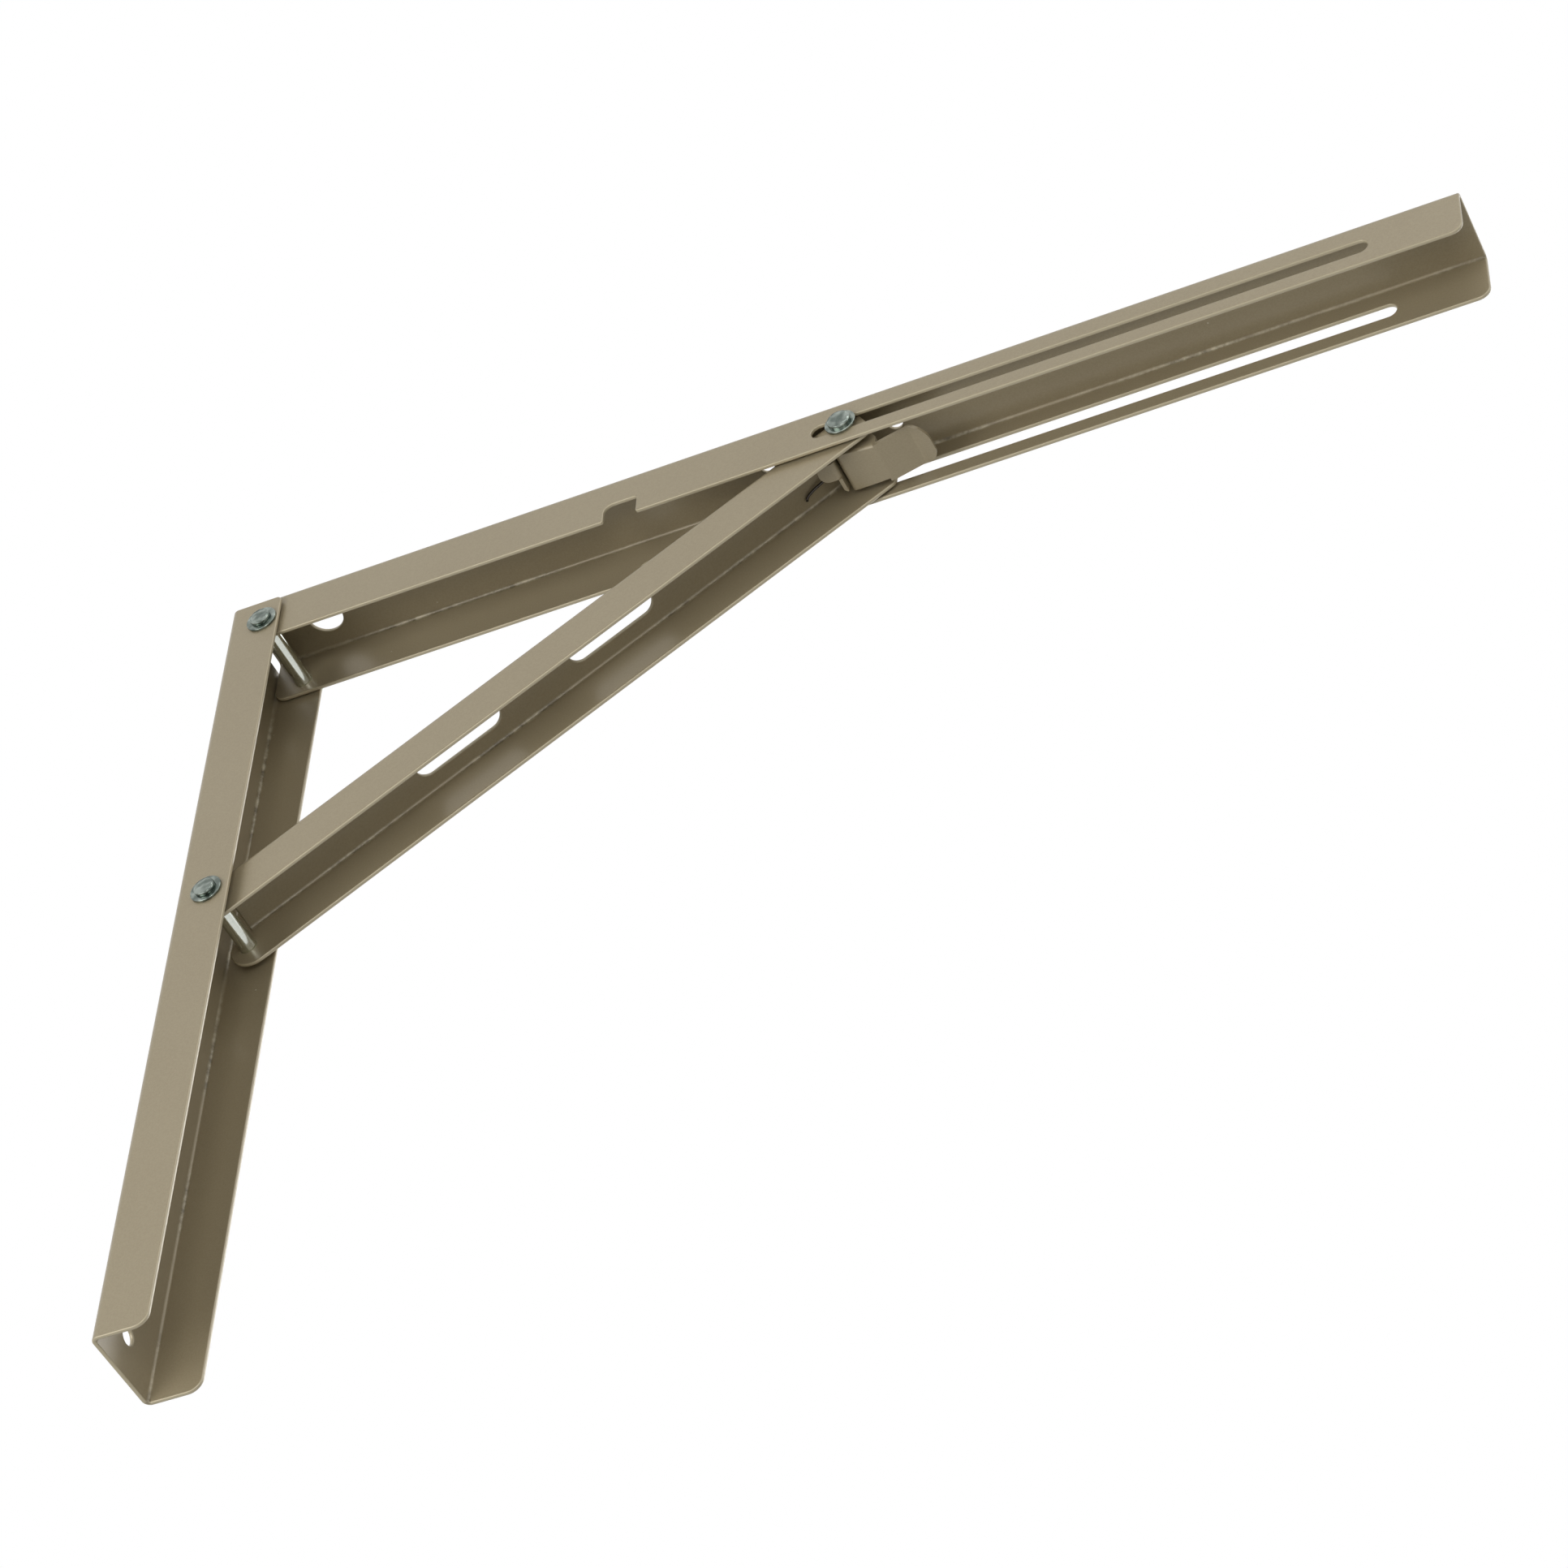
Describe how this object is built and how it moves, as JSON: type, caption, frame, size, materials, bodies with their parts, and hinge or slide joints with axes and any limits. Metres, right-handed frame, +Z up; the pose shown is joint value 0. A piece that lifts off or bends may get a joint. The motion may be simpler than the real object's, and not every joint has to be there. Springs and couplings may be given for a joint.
{
  "type": "drop leaf table bracket",
  "caption": "Folding support bracket for a drop leaf: wall channel, slotted support arm and strut, with a sprung release lever on the sliding pin.",
  "frame": {"origin": "on the wall face, in the middle of its width, level with the upper pivot", "axes": "+X out from the wall along the open arm, +Y along the wall, +Z up"},
  "size_m": [0.4541, 0.0387, 0.3399],
  "materials": {
    "powder_coat": "satin",
    "zinc_steel": "bright zinc plated",
    "spring_steel": "satin"
  },
  "bodies": {
    "wall": {"wall_channel": "powder_coat", "upper_pivot_rivet": "zinc_steel", "upper_pivot_washer": "zinc_steel", "lower_pivot_rivet": "zinc_steel", "lower_pivot_washer": "zinc_steel"},
    "arm": {"support_arm": "powder_coat"},
    "slider": {"slider_near_end": "zinc_steel", "slider_washer": "zinc_steel", "slider_far_end": "zinc_steel"},
    "strut": {"strut": "powder_coat", "slider_cross_pin": "zinc_steel"},
    "latch": {"latch_lever": "powder_coat", "latch_catch_plate": "powder_coat", "latch_spring": "spring_steel"}
  },
  "joints": [
    {"name": "fold_hinge", "type": "hinge", "parent": "wall", "child": "arm", "pos_m": [0.0138, 0, 0], "axis": [0, 1, 0], "range_deg": [0, 90]},
    {"name": "strut_hinge", "type": "hinge", "parent": "wall", "child": "strut", "pos_m": [0.012, 0, -0.136], "axis": [0, 1, 0], "range_deg": [0, 120.86]},
    {"name": "slot_slide", "type": "slide", "parent": "arm", "child": "slider", "axis": [1, 0, 0], "range_m": [0, 0.17727]},
    {"name": "latch_hinge", "type": "hinge", "parent": "strut", "child": "latch", "pos_m": [0.2354, 0, 0.0026], "axis": [0, -1, 0], "range_deg": [0, 30.9], "stiffness_Nm_per_rad": 0.05, "springref_deg": -8.59}
  ],
  "couplings": [
    {"joint": "strut_hinge", "follows": "fold_hinge", "ratio": 1.3429},
    {"joint": "slot_slide", "follows": "fold_hinge", "m_per_rad": 0.11285}
  ]
}
